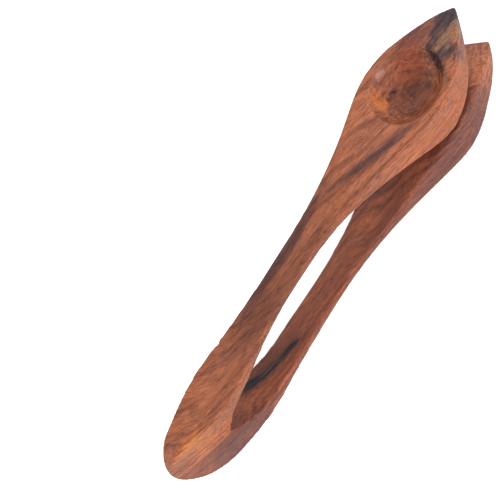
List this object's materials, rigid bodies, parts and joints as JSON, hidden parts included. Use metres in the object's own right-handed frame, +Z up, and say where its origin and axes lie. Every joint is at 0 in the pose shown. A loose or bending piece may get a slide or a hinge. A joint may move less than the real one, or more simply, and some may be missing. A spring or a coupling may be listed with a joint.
{
  "type": "wooden musical spoons",
  "caption": "Carved hardwood musical spoons: springy limbs with outward bowls and gently crowned backs, joined at a solid heel, squeezed so that the backs clack.",
  "frame": {"origin": "middle of the bounding box in plan, on the flat outer face of the lower limb", "axes": "+X along the limbs from the glued heel to the tips, +Y across the width, +Z up from the lower limb to the upper limb"},
  "size_m": [0.245, 0.0442, 0.039],
  "materials": {
    "upper_wood": "oiled satin rosewood, orange brown with dark stripes",
    "lower_wood": "oiled satin rosewood, darker pinkish brown",
    "glue": "thin dark dried wood glue"
  },
  "bodies": {
    "heel": {"heel_half_upper": "upper_wood", "heel_half_lower": "lower_wood", "glue_line": "glue"},
    "upper_spoon": {"spoon_upper": "upper_wood"},
    "lower_spoon": {"spoon_lower": "lower_wood"}
  },
  "joints": [
    {"name": "upper_flex", "type": "hinge", "parent": "heel", "child": "upper_spoon", "pos_m": [-0.0335, 0, 0.037], "axis": [0, 1, 0], "range_deg": [-1.5, 0.4], "stiffness_Nm_per_rad": 15.5},
    {"name": "lower_flex", "type": "hinge", "parent": "heel", "child": "lower_spoon", "pos_m": [-0.0335, 0, 0.002], "axis": [0, -1, 0], "range_deg": [-1.5, 0.4], "stiffness_Nm_per_rad": 15.5}
  ]
}
